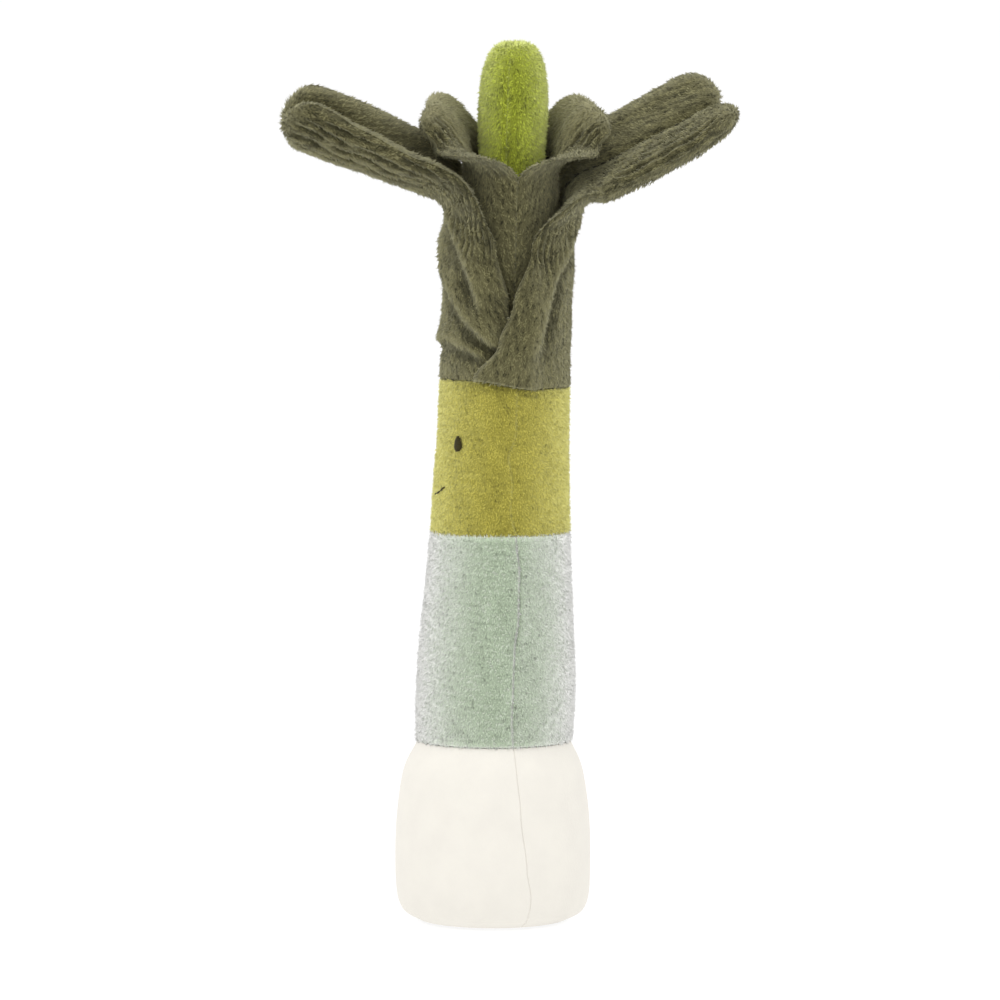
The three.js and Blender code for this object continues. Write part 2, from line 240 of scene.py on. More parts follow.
# Pile: how far a spike strays of its own, leans out of a valley and sits in the cloth.
STRAY = 0.25
VALLEY_LEAN = 1.3
ROOT_DEPTH = 0.1

# Pile: what each cause adds to or takes from a spike's tone. The parting and valley terms are painted shade
# in the partings and between the ribs.
BROAD_TONE = 0.09
DRIFT_TONE = 0.12
FINE_TONE = 0.26
BRUSHED_TONE = 0.36
OWN_TONE = 0.08
PARTED_SHADE = 0.4
VALLEY_SHADE = 1.4


def pile(name, cloth, material, slot, density, *, seed, length=1.3, width=0.45, lie=0.5, clump=0.5,
         drift_size=3.0, contrast=1.0, strands=0.0):
    """Brushed pile on a cloth: slim closed three-sided spikes rooted at even random places on it.

    Each spike points along the cloth's normal, bent over by lie towards the nap, by smooth wobbles that
    clump neighbours together and by a little of its own. Over ribs it stands higher on the crests and
    leans away from the valleys between them. density is spikes per square millimetre, contrast is how far
    neighbouring tufts differ in tone, and strands is the share of that which runs in brushed strands.
    """
    rng = np.random.default_rng(seed)
    triangles = np.concatenate([cloth.faces[:, [0, 1, 2]], cloth.faces[:, [0, 2, 3]]])
    a, b, c = (cloth.points[triangles[:, i]] for i in range(3))
    area = np.linalg.norm(np.cross(b - a, c - a), axis=1) / 2 * cloth.facts["cover"][triangles].mean(axis=1)
    total = np.cumsum(area)
    count = int(total[-1] * density)
    pick = np.searchsorted(total, (np.arange(count) + rng.uniform(size=count)) / count * total[-1])
    corner = triangles[np.minimum(pick, len(triangles) - 1)]
    r = np.sqrt(rng.uniform(size=count))
    s = rng.uniform(size=count)
    share = np.stack([1 - r, r * (1 - s), r * s], axis=1)

    def at_root(values):
        return np.einsum("ij,ij...->i...", share, values[corner])

    root = at_root(cloth.points)
    normal = unit(at_root(cloth.normals))
    parting = at_root(cloth.facts["parting"])
    ribbed = at_root(cloth.facts["ribbed"])
    phase = 2 * np.pi * at_root(cloth.facts["phase"])
    valley = 0.5 - 0.5 * np.cos(phase)
    drift = np.stack([wobble(root, drift_size, seed + 11 + i) for i in range(3)], axis=1)
    fine = np.stack([wobble(root, drift_size * 0.4, seed + 21 + i) for i in range(3)], axis=1)
    way = at_root(cloth.nap) + clump * (drift + fine) + rng.normal(size=(count, 3)) * STRAY
    way -= at_root(cloth.across) * (ribbed * np.sin(phase) * VALLEY_LEAN)[:, None]
    way -= normal * (way * normal).sum(axis=1, keepdims=True)
    way = unit(normal * (1 - lie) + way * lie)
    across = unit(np.cross(way, rng.normal(size=(count, 3))))
    other = np.cross(way, across)
    reach = length * rng.uniform(0.7, 1.15, size=count) * (1 - 0.35 * parting - 0.55 * ribbed * valley**2)
    half = width * rng.uniform(0.4, 0.6, size=(count, 1))
    sunk = root - normal * (ROOT_DEPTH - 0.4 * ribbed * (1 - valley) - 0.25 * fine[:, 2])[:, None]
    turns = [np.cos(k * 2 * np.pi / 3) * across + np.sin(k * 2 * np.pi / 3) * other for k in range(3)]
    ring = [sunk + half * turn for turn in turns]
    points = np.stack(ring + [sunk + way * reach[:, None]], axis=1).reshape(-1, 3)
    soft = [unit(normal + 0.5 * turn + 0.3 * way) for turn in turns] + [unit(normal + 0.6 * way)]
    soft = np.stack(soft, axis=1)
    first = 4 * np.arange(count)[:, None, None]
    faces = (first + np.array([[0, 1, 3], [1, 2, 3], [2, 0, 3], [0, 2, 1]])).reshape(-1, 3)
    strand, beside = (at_root(cloth.facts[key]) for key in ("strand", "beside"))
    brushed = wobble(np.stack([0.16 * strand, beside, 0.25 * root[:, 2]], axis=1), 1.5, seed + 41)
    # Tone: random mottle, broad and in brushed strands. The drift and fine mottle follow the noise that leans
    # and raises the clumps, so they are partly painted light and shade: paler where a clump leans up or
    # stands higher.
    tone = BROAD_TONE * wobble(root, 9.0, seed + 31) + DRIFT_TONE * drift[:, 2]
    tone += FINE_TONE * fine[:, 2] * (1 - strands) + BRUSHED_TONE * brushed * strands
    tone = 0.5 + contrast * (tone + rng.normal(size=count) * OWN_TONE)
    # The cloth's tone holds, among other tones, painted highlights and shade on the folds, painted shadow
    # under the hem and painted sheen on the inner leaves' lobes. Then comes painted shade in the partings and
    # rib valleys.
    tone += at_root(cloth.facts["tone"]) - PARTED_SHADE * parting - VALLEY_SHADE * ribbed * valley**2.5
    uv = np.stack([np.repeat(np.clip(tone, 0.02, 0.98), 4), np.tile([0.02, 0.02, 0.02, 0.98], count)], axis=1)
    made = make_mesh(name, points, faces, material, uv=uv, normals=soft.reshape(-1, 3))
    return sewn(made)


# Shader expressions.

# The share of a plush's colour that its darkest and its palest tufts have.
DARKEST_TUFTS = (0.2, 0.2, 0.19)
PALEST_TUFTS = (1.6, 1.6, 1.6)


class Value:
    """A shader socket that works in expressions: each operator adds its Math node."""

    def __init__(self, shade, socket):
        self.shade = shade
        self.socket = socket

    def math(self, operation, first, second):
        return self.shade.node("ShaderNodeMath", {"operation": operation}, first, second)

    def __add__(self, other):
        return self.math("ADD", self, other)

    def __sub__(self, other):
        return self.math("SUBTRACT", self, other)

    def __mul__(self, other):
        return self.math("MULTIPLY", self, other)


class Shade:
    """One material's nodes. node() takes a type, its settings and its inputs, by order or by name."""

    def __init__(self, name):
        self.material = bpy.data.materials.new(name)
        self.material.use_nodes = True
        self.tree = self.material.node_tree
        self.tree.nodes.clear()

    def node(self, kind, settings=None, *inputs, output=0, **named):
        made = self.tree.nodes.new(kind)
        for key, value in (settings or {}).items():
            setattr(made, key, value)
        for key, value in list(enumerate(inputs)) + list(named.items()):
            socket = made.inputs[key if isinstance(key, int) else key.replace("_", " ")]
            if isinstance(value, Value):
                self.tree.links.new(value.socket, socket)
            else:
                socket.default_value = value
        return Value(self, made.outputs[output])

    def ramp(self, factor, *stops):
        """A colour ramp of stops (place, colour)."""
        result = self.node("ShaderNodeValToRGB", None, factor)
        elements = result.socket.node.color_ramp.elements
        while len(elements) < len(stops):
            elements.new(0.5)
        for element, (place, colour) in zip(elements, stops):
            element.position = place
            element.color = (*colour, 1.0)
        return result

    def mix(self, factor, first, second, blend="MIX"):
        """The first colour, moved to its blend with the second by a factor."""
        made = self.tree.nodes.new("ShaderNodeMix")
        made.data_type = "RGBA"
        made.blend_type = blend
        for key, value in ((0, factor), (6, first), (7, second)):
            if isinstance(value, Value):
                self.tree.links.new(value.socket, made.inputs[key])
            else:
                made.inputs[key].default_value = value if key == 0 else (*value, 1.0)
        return Value(self, made.outputs[2])

    def noise(self, scale, detail, stretch=(1.0, 1.0, 1.0)):
        """Noise on object coordinates in metres, about 1/scale long, stretched along an axis."""
        place = self.node("ShaderNodeTexCoord", output=3)
        place = self.node("ShaderNodeMapping", None, place, Scale=stretch)
        return self.node("ShaderNodeTexNoise", None, Vector=place, Scale=scale, Detail=detail)

    def finish(self, colour, roughness, sheen=0.0, sheen_tint=(1, 1, 1), bump=None, strength=0.3,
               distance=0.3):
        """The surface: a colour, its roughness and sheen, and a bump of distance millimetres."""
        shader = self.tree.nodes.new("ShaderNodeBsdfPrincipled")
        output = self.tree.nodes.new("ShaderNodeOutputMaterial")
        self.tree.links.new(shader.outputs[0], output.inputs[0])
        if isinstance(colour, Value):
            self.tree.links.new(colour.socket, shader.inputs["Base Color"])
        else:
            shader.inputs["Base Color"].default_value = (*colour, 1.0)
        shader.inputs["Roughness"].default_value = roughness
        shader.inputs["Specular IOR Level"].default_value = 0.12
        shader.inputs["Sheen Weight"].default_value = sheen
        shader.inputs["Sheen Roughness"].default_value = 0.5
        shader.inputs["Sheen Tint"].default_value = (*sheen_tint, 1.0)
        if bump is not None:
            raised = self.node("ShaderNodeBump", None, Strength=strength, Distance=distance * MM, Height=bump)
            self.tree.links.new(raised.socket, shader.inputs["Normal"])
        return self.material


def painted_sheen(shade, colour, pale, sheen_gain):
    """Painted sheen: plush looks paler where it is seen aslant, along its pile, so the colour moves to the
    pale colour by the given strength.
    """
    aslant = shade.node("ShaderNodeLayerWeight", None, 0.5, output=1)
    share = shade.node("ShaderNodeMath", {"operation": "MULTIPLY", "use_clamp": True}, aslant, sheen_gain)
    return shade.mix(share, colour, pale)


def backing(name, deep_shade, mid_shade, pale, sheen_gain):
    """The cloth under the pile, in darker shares of the plush colour as painted shade beneath the pile:
    darker still where it parts and between ribs as painted shade, mottled, with painted sheen where seen
    aslant and a fine bump.
    """
    shade = Shade(name)

    def fact(key):
        return shade.node("ShaderNodeAttribute", {"attribute_name": key}, output=2)

    mottle = shade.noise(700.0, 2.0)
    grain = shade.noise(2200.0, 2.0)
    wave = shade.node("ShaderNodeMath", {"operation": "COSINE"}, fact("phase") * (2 * np.pi)) * -0.5 + 0.5
    level = mottle * 0.4 + grain * 0.6 + fact("tone")
    # Painted shade in the partings and in the valleys between ribs.
    level = level - fact("parting") * 0.6 - wave * wave * fact("ribbed") * 0.7
    colour = shade.ramp(level, (0.1, deep_shade), (0.75, mid_shade))
    # Painted sheen where the cloth is seen aslant.
    colour = painted_sheen(shade, colour, pale, sheen_gain)
    return shade.finish(colour, 0.95, bump=grain, strength=0.5, distance=0.4)


def pile_finish(name, root, body, tip, pale, sheen_gain, palest):
    """The pile: the map's height runs from root to tip, painted darker at the root as the shade low in the
    pile and a little paler at the tip as painted light, and its width is each tuft's own tone.
    """
    shade = Shade(name)
    place = shade.node("ShaderNodeUVMap", {"uv_map": "OFBake"})
    tone = shade.node("ShaderNodeSeparateXYZ", None, place)
    height = Value(shade, tone.socket.node.outputs[1])
    # Painted shade low in the pile: dark at the root, a little paler at the tip.
    colour = shade.ramp(height, (0.0, root), (0.45, body), (1.0, tip))
    lift = shade.ramp(tone, (0.0, DARKEST_TUFTS), (0.5, (1.0, 1.0, 1.0)), (1.0, palest))
    colour = shade.mix(1.0, colour, lift, "MULTIPLY")
    # Painted sheen where the pile is seen aslant.
    return shade.finish(painted_sheen(shade, colour, pale, sheen_gain), 0.9)


def shades(colour, *shares):
    """The colour times each share, no brighter than 1."""
    return [tuple(min(1.0, c * share) for c in colour) for share in shares]


def plush(name, colour, pale, sheen_gain, palest=PALEST_TUFTS):
    """The two finishes of one plush: its backing and its pile. palest is the share of the colour that the
    palest tufts have. The backing and the tuft roots get darker shares of the colour as painted shade under
    and low in the pile, the tips a slightly paler share as painted light, and pale is the colour of the
    painted sheen.
    """
    # Shares of the colour: backing darkest and lighter, then tuft root, body and tip; the dark ones are
    # painted shade.
    deep_shade, mid_shade, root, body, tip = shades(colour, 0.3, 0.8, 0.5, 1.0, 1.1)
    return (
        backing(name + "_backing", deep_shade, mid_shade, pale, sheen_gain),
        pile_finish(name + "_pile", root, body, tip, pale, sheen_gain, palest),
    )


# Each plush: its colour, the pale colour of its painted sheen and that sheen's strength, and for some the
# share of the palest tufts.
MINT_CLOTH, MINT_PILE = plush("mint_plush", (0.685, 0.825, 0.6), (1.0, 1.0, 0.97), 1.5, (1.2, 1.08, 1.26))
FACE_CLOTH, FACE_PILE = plush(
    "yellow_green_plush", (0.61, 0.55, 0.108), (1.0, 0.96, 0.36), 0.95, (1.28, 1.28, 1.35),
)
LEAF_CLOTH, LEAF_PILE = plush("leaf_plush", (0.193, 0.18, 0.088), (0.6, 0.58, 0.38), 0.54)
BUD_CLOTH, BUD_PILE = plush("bud_plush", (0.44, 0.5, 0.055), (0.93, 1.0, 0.36), 0.95)
WHITE = (0.84, 0.81, 0.74)


def white_finish():
    """Short white plush: almost even, with a faint nap."""
    shade = Shade("white_plush")
    mottle = shade.noise(120.0, 3.0)
    nap = shade.noise(1700.0, 2.0, (1.0, 1.0, 0.6))
    colour = shade.ramp(mottle, (0.3, (0.81, 0.78, 0.715)), (0.7, WHITE))
    return shade.finish(colour, 0.95, 0.2, (1.0, 0.98, 0.94), bump=nap, strength=0.25, distance=0.3)


def thread_finish(name, colour):
    """Twisted thread: a fine slanting bump and a slight gloss."""
    shade = Shade(name)
    twist = shade.noise(3800.0, 1.0, (1.0, 1.0, 2.0))
    tone = shade.ramp(twist, (0.3, shades(colour, 0.6)[0]), (0.7, shades(colour, 1.6)[0]))
    return shade.finish(tone, 0.6, 0.1, bump=twist, strength=0.6, distance=0.2)


WHITE_PLUSH = white_finish()
FACE_THREAD = thread_finish("face_thread", (0.035, 0.028, 0.006))
LEAF_THREAD = thread_finish("leaf_thread", (0.035, 0.034, 0.018))


def filling_finish(name, colour):
    """Filling that shows only if the toy is opened: tangled pale fibre or plain cloth."""
    shade = Shade(name)
    tangle = shade.noise(900.0, 4.0)
    tone = shade.ramp(tangle, (0.3, shades(colour, 0.8)[0]), (0.7, colour))
    return shade.finish(tone, 0.95, 0.2, bump=tangle, strength=0.6, distance=0.6)


FIBRE = filling_finish("fibre_stuffing", (0.85, 0.85, 0.83))
POUCH = filling_finish("pouch_cloth", (0.66, 0.63, 0.56))


# Stem panels.

PANEL_SEED = 3


def rolled_edge(distance, radius):
    """The share of full thickness at a distance in from a sewn edge: a quarter circle of that radius."""
    share = np.clip(distance / radius, 0.0, 1.0)
    return np.sqrt(np.maximum(0.0, 1.0 - (1.0 - share) ** 2))


def crowded(count):
    """Shares from 0 to 1 that crowd towards both ends."""
    t = np.linspace(0, 1, count)
    return t - 0.75 * np.sin(2 * np.pi * t) / (2 * np.pi)


SIDE_SEAM = (
    (0, 13), (11, 14.4), (21, 11.6), (39, 8.4), (57, 6.6), (72, 4.2), (83, 4.5), (94, 5), (105, 7.9),
    (121, 8.2), (130, 5.3), (142, -0.4), (150, 0.8), (159, -3.3), (166, 3), (182, 3), (240, -19), (300, -19),
)


def seam_angle(z, side):
    """Where a side seam runs at height z, in radians round the stem: side 1 is +X and -1 is -X."""
    if side > 0:
        return np.radians(along(SIDE_SEAM, z))
    return np.pi + np.radians(2.5 * np.sin(z / 17.0) + 1.5 * np.sin(z / 7.0 + 1.0))


def band_panel(outline, side, columns, rows, *, seam, inset=PILE_STAND, groove=GROOVE, top_spread=0.0,
               hem_shade=0.0):
    """Half of a band: a grid of angle round the stem and height along the outline, padded at its middle.

    side is 1 for the back half and -1 for the front half. seam is how far the pile opens at the sides.
    """
    edge = spline(outline, rows * 3)
    run = np.concatenate([[0.0], np.cumsum(np.linalg.norm(np.diff(edge, axis=0), axis=1))])
    place = crowded(rows) * run[-1]
    radius = np.interp(place, run, edge[:, 0])[:, None]
    height = np.interp(place, run, edge[:, 1])[:, None]
    rise = np.gradient(edge, run, axis=0)
    out_share = np.interp(place, run, rise[:, 1])[:, None]
    up_share = -np.interp(place, run, rise[:, 0])[:, None]
    share = crowded(columns)[None, :]
    gap = 0.01 / np.maximum(radius, 3.0)
    start = seam_angle(height, side)
    end = seam_angle(height, -side) + (0.0 if side > 0 else 2 * np.pi)
    angle = start + gap + (end - start - 2 * gap) * share
    flat = np.stack([np.cos(angle), np.sin(angle), np.zeros_like(angle)], axis=-1)
    normal = flat * out_share[..., None]
    normal[..., 2] = up_share
    normal = unit(normal)
    middle = flat * radius[..., None]
    middle[..., 2] = height
    middle -= normal * (CLOTH / 2)
    around = radius * (end - start) * share
    to_side = np.minimum(around, radius * (end - start) - around)
    to_top = (run[-1] - place)[:, None] + 0 * angle
    to_end = np.minimum(place[:, None], to_top)
    puff = rolled_edge(to_side, 0.3 + 0.4 * seam) * rolled_edge(to_end, 0.3)
    stand = CLOTH / 2 - inset
    raised = (stand - groove * (1 + seam)) * (1 - ease(np.minimum(to_side, to_end), 0.0, 1.5))
    middle = middle + normal * raised[..., None]
    lump = 0.25 * wobble(middle, 22.0, PANEL_SEED) * ease(to_end, 0, 6) * ease(to_side, 0, 4)
    shoulder = 0.3 * seam * ease(to_side, 6.0, 1.0)
    above = np.maximum((stand + shoulder) * puff + lump - raised, 0.03)
    tangent = np.stack([-np.sin(angle), np.cos(angle), np.zeros_like(angle)], axis=-1)
    away = ease(to_side, 4.0, 0.0) * np.where(share < 0.5, 1.0, -1.0) * (1.6 * seam - 0.6)
    down = -1 + 2.2 * top_spread * ease(to_top, 3.0, 0.5)
    uneven = 0.55 + 0.45 * wobble(middle, 9.0, PANEL_SEED + 1)
    shaded = hem_shade * (ease(to_top, 4.5, 0.5) + 0.6 * ease(to_end, 4.0, 0.5))
    nap = tangent * away[..., None]
    nap[..., 2] += down
    # The parting at the side seams is painted darker by the finishes: painted shade in the seam.
    return Cloth(
        leaning(middle), normal, above, (CLOTH / 2) * puff + raised + 0.02, nap, cover_below=0.0,
        parting=0.9 * seam * uneven * ease(to_side, 1.3, 0.1), strand=around, beside=height + 0 * around,
        tone=0.3 * top_spread * ease(to_end, 2.2, 1.0) - shaded,
    )


def clear_of_face(cloth):
    """Takes the pile off where the eyes and the smile are stitched."""
    x, y, z = cloth.points.T
    angle = np.arctan2(x, -(y - lean(z)))
    for side in (1, -1):
        across = (angle - side * EYE_ANGLE) * FACE_RADIUS / (EYE_HALF_WIDTH + 0.2)
        up = (z - EYE_HEIGHT) / (EYE_HALF_HEIGHT + 0.5)
        cloth.facts["cover"][across**2 + up**2 < 1] = 0.0
    share = angle / SMILE_ANGLE
    off = np.abs(z - SMILE_HEIGHT - SMILE_RISE * share**2)
    cloth.facts["cover"][(np.abs(share) < 1) & (off < 0.6)] = 0.25


def band(key, outline, finishes, slot, density, columns, rows, panel, fill=0.85, **pile_facts):
    """A band's front and back panel, each with its pile where the band has a density of spikes."""
    for side, half in ((-1, "front"), (1, "back")):
        cloth = band_panel(outline, side, columns, rows, **panel)
        if key == "face":
            clear_of_face(cloth)
        name = key + "_panel_" + half
        cloth_piece(name, cloth, finishes[0], [name])
        if density:
            pile(key + "_pile_" + half, cloth, finishes[1], slot, density, seed=40 + side, **pile_facts)


# Leaves. Stations are distances along the leaf from its lower end. Its heading is 1 to the back and -1 to
# the front. Distances across it start at the midrib, and near is above 0 on the side that the camera sees.

SHEATH_HALF = 1.9
CREASE_WIDTH = 3.0
RIB_DEPTH = 1.6
THINNEST = 0.05
LEAF_START = LEAF_SEAM + 0.15

# A fold in the sheath: its height, how far its soft and its steep side reach, and the valley beyond it.
FOLD_HEIGHT = 1.25
FOLD_SOFT = 4.5
FOLD_STEEP = 1.1
VALLEY_PLACE = 3.0
VALLEY_REACH = 2.6

OUTER_LEAF = dict(
    sheath_radius=20.6, curl=((46, 20.6), (88, 70.0)), side_roll=((0, 1.0),), tip=9.0, pinch=0.42,
    level_seam=0.0, parted_shade=1.0, tip_sheen=0.0,
)
OUTER_LEAVES = {
    "back": dict(
        OUTER_LEAF, heading=1.0, rise=242.0, bend=10.0, turn=np.radians(62.0), blade=54.5, blade_half=5.2,
        half_width=((0, 45.3), (14, 37.6), (27, 33.6), (46, 27.6), (60, 23.5), (84, 20.5)),
        wing_plus=((52, 0), (70, -27), (104, -27), (128, -14)),
        wing_minus=((60, 0), (86, 44), (122, 48)),
        notch=4.0, lift=2.7, padding=(45, 80), hem_tone=0.2,
        rib_width=((50, 2.0), (80, 3.4)), rib_start=((28, 0), (54, 1)), ribs_above=1.0,
    ),
    "front": dict(
        OUTER_LEAF, heading=-1.0, rise=238.9, bend=9.0, turn=np.radians(70.5), blade=57.0, blade_half=4.8,
        half_width=((0, 37.0), (28, 29.6), (44, 25.2), (60, 21.5), (78, 20.5), (110, 21.5)),
        wing_plus=((54, 0), (76, 64), (106, 86), (122, 84)),
        wing_minus=((58, 0), (76, 13), (100, 22), (122, 32)),
        notch=5.0, lift=-1.7, padding=(50, 86), hem_tone=0.1,
        rib_width=((50, 2.0), (80, 3.6)), rib_start=((36, 0), (52, 1)), ribs_above=0.0,
    ),
}
INNER_LEAF = dict(
    sheath_radius=14.7, rise=253.8, bend=24.5, blade=4.5, blade_half=4.4,
    half_width=((0, 23.07), (74, 23.07), (89, 15.5), (102, 15.0)),
    curl=((70, 14.7), (88, 60.0)), side_roll=((66, 0.15), (78, 1.0)), tip=6.0, notch=0.5, lift=0.0,
    rib_width=((0, 2.6),), rib_start=((66, 0), (76, 1)), ribs_above=1.0, hem_tone=0.0, tip_sheen=0.65,
    parted_shade=0.0, level_seam=0.8, padding=(72, 90), pinch=0.1,
)
TOWARDS = ((70, 0), (86, 20))
AWAY = ((67, 0), (86, -50))
INNER_LEAVES = {
    "back": dict(INNER_LEAF, heading=1.0, turn=np.radians(54.0), wing_plus=AWAY, wing_minus=TOWARDS),
    "front": dict(INNER_LEAF, heading=-1.0, turn=np.radians(56.0), wing_plus=TOWARDS, wing_minus=AWAY),
}


def leaf_length(leaf):
    """The length of the midrib: the straight sheath, the bend and the straight blade."""
    return leaf["rise"] - LEAF_START + leaf["bend"] * leaf["turn"] + leaf["blade"]


def midrib(leaf, distance):
    """The midrib: straight up, then an arc outwards, then straight. Returns its y, z and turned angle."""
    straight = leaf["rise"] - LEAF_START
    turn = np.clip((distance - straight) / leaf["bend"], 0.0, leaf["turn"])
    rest = np.maximum(distance - straight - leaf["bend"] * leaf["turn"], 0.0)
    y = leaf["sheath_radius"] + leaf["bend"] * (1 - np.cos(turn)) + rest * np.sin(turn)
    z = LEAF_START + np.minimum(distance, straight) + leaf["bend"] * np.sin(turn) + rest * np.cos(turn)
    return y, z, turn


def standing(leaf, x, inward, y, z, turn):
    """Places at x across a leaf and a distance inward from its midrib, turned to the leaf's heading."""
    heading = leaf["heading"]
    across = heading * (y - np.cos(turn) * inward)
    return np.stack([heading * x, across, z + np.sin(turn) * inward], axis=-1)


def crest_relief(distance, near, crests):
    """The folds of the draped sheath. Each crest is a line of (distance, near) points and a height, with a
    soft slope on one side, a steep drop on the other and a valley beyond it. Returns height, and a tone
    that paints a highlight along each crest and shade in the valley beyond it.
    """
    height = np.zeros(np.shape(distance))
    tone = np.zeros(np.shape(distance))
    for line, tall in crests:
        line = np.array(line, float)
        nearest = np.full(height.shape, 1e9)
        signed = np.zeros(height.shape)
        fade = np.zeros(height.shape)
        for k, (start, end) in enumerate(zip(line, line[1:])):
            step = end - start
            dx = distance - start[0]
            dy = near - start[1]
            t = np.clip((dx * step[0] + dy * step[1]) / (step @ step), 0.0, 1.0)
            gap = np.hypot(dx - t * step[0], dy - t * step[1])
            cross = dx * step[1] - dy * step[0]
            closer = gap < nearest
            nearest = np.where(closer, gap, nearest)
            signed = np.where(closer, gap * np.sign(cross), signed)
            place = (k + t) / (len(line) - 1)
            fade = np.where(closer, ease(place, 0.0, 0.12) * ease(place, 1.0, 0.75), fade)
        high = signed >= 0
        bump = np.exp(-((signed / np.where(high, FOLD_SOFT, FOLD_STEEP)) ** 2))
        valley = np.where(high, 0.0, np.exp(-(((signed + VALLEY_PLACE) / VALLEY_REACH) ** 2)))
        height += FOLD_HEIGHT * tall * fade * (bump - 0.5 * valley)
        # Painted highlight along the crest and its rim, painted shade in the valley beyond it.
        tone += fade * (0.25 * bump + 0.45 * np.exp(-(((signed - 0.2) / 0.8) ** 2)) - 0.75 * valley)
    return height, tone


def leaf_grid(leaf, rows, columns):
    """The leaf's middle surface: rows along it and columns across it.

    Each row walks out from the midrib to both edges. Its slope starts at the wing's angle and grows by the
    curl, so the sheath follows the round stem and the blade is a gutter. The last rows bend so that each
    half ends in a round lobe with a notch between the two. Returns a dictionary of grids.
    """
    length = leaf_length(leaf)
    tip = leaf["tip"]
    share = np.linspace(0, 1, columns)[None, :]
    share = 1 - (1 - share) ** 1.35
    rounding = np.sqrt(np.maximum(0.0, 1 - np.clip((share - 0.45) / 0.55, 0, 1) ** 2.2))
    lost = tip * (1 - rounding) + leaf["notch"] * ease(share, 0.4, 0.0)
    t = np.linspace(0, 1, rows)[:, None]
    t = t - 0.07 * np.sin(2 * np.pi * t)
    distance = length * t - lost * ease(t, 0.7, 1.0)
    to_tip = (length - lost) - distance
    width = along(leaf["half_width"], distance)
    curl = 1.0 / along(leaf["curl"], distance)
    halves = []
    for side, wing in ((-1, leaf["wing_minus"]), (1, leaf["wing_plus"])):
        out = width * share
        slope = np.radians(along(wing, distance)) * ease(out, 0, CREASE_WIDTH) + curl * out
        step = np.diff(out, axis=1)
        middle_slope = 0.5 * (slope[:, 1:] + slope[:, :-1])
        zero = np.zeros((rows, 1))
        x = np.concatenate([zero, np.cumsum(np.cos(middle_slope) * step, axis=1)], axis=1)
        inward = np.concatenate([zero, np.cumsum(np.sin(middle_slope) * step, axis=1)], axis=1)
        part = np.stack([side * x, inward, side * slope, side * out, distance, width, to_tip], axis=-1)
        halves.append(part[:, ::-1] if side < 0 else part[:, 1:])
    x, inward, slope, out, distance, width, to_tip = np.moveaxis(np.concatenate(halves, axis=1), -1, 0)
    y, z, turn = midrib(leaf, distance)
    overlap = ease(np.abs(out), 21, 29) * along(((28, 1), (50, 0)), distance)
    x = x + np.sin(slope) * leaf["lift"] * overlap
    inward = inward - np.cos(slope) * leaf["lift"] * overlap
    heading = leaf["heading"]
    return {
        "place": standing(leaf, x, inward, y, z, turn),
        "normal": unit(np.stack([
            -heading * np.sin(slope), -heading * np.cos(turn) * np.cos(slope), np.sin(turn) * np.cos(slope),
        ], axis=-1)),
        "upward": np.stack([0 * slope, heading * np.sin(turn), np.cos(turn)], axis=-1),
        "across": np.stack([
            heading * np.cos(slope), -heading * np.cos(turn) * np.sin(slope), np.sin(turn) * np.sin(slope),
        ], axis=-1),
        "distance": distance, "out": out, "width": width, "to_tip": to_tip, "share": out / width,
    }


def leaf_half(leaf, distance, share):
    """Half of the leaf's thickness: thin in the sheath, padded in the blade, pinched along the midrib."""
    start, full = leaf["padding"]
    padded = along(((start, SHEATH_HALF), (full, leaf["blade_half"])), distance)
    pinch = leaf["pinch"] * along(((60, 0), (80, 1)), distance)
    return padded * (1 - pinch * np.exp(-((share / 0.2) ** 2)))


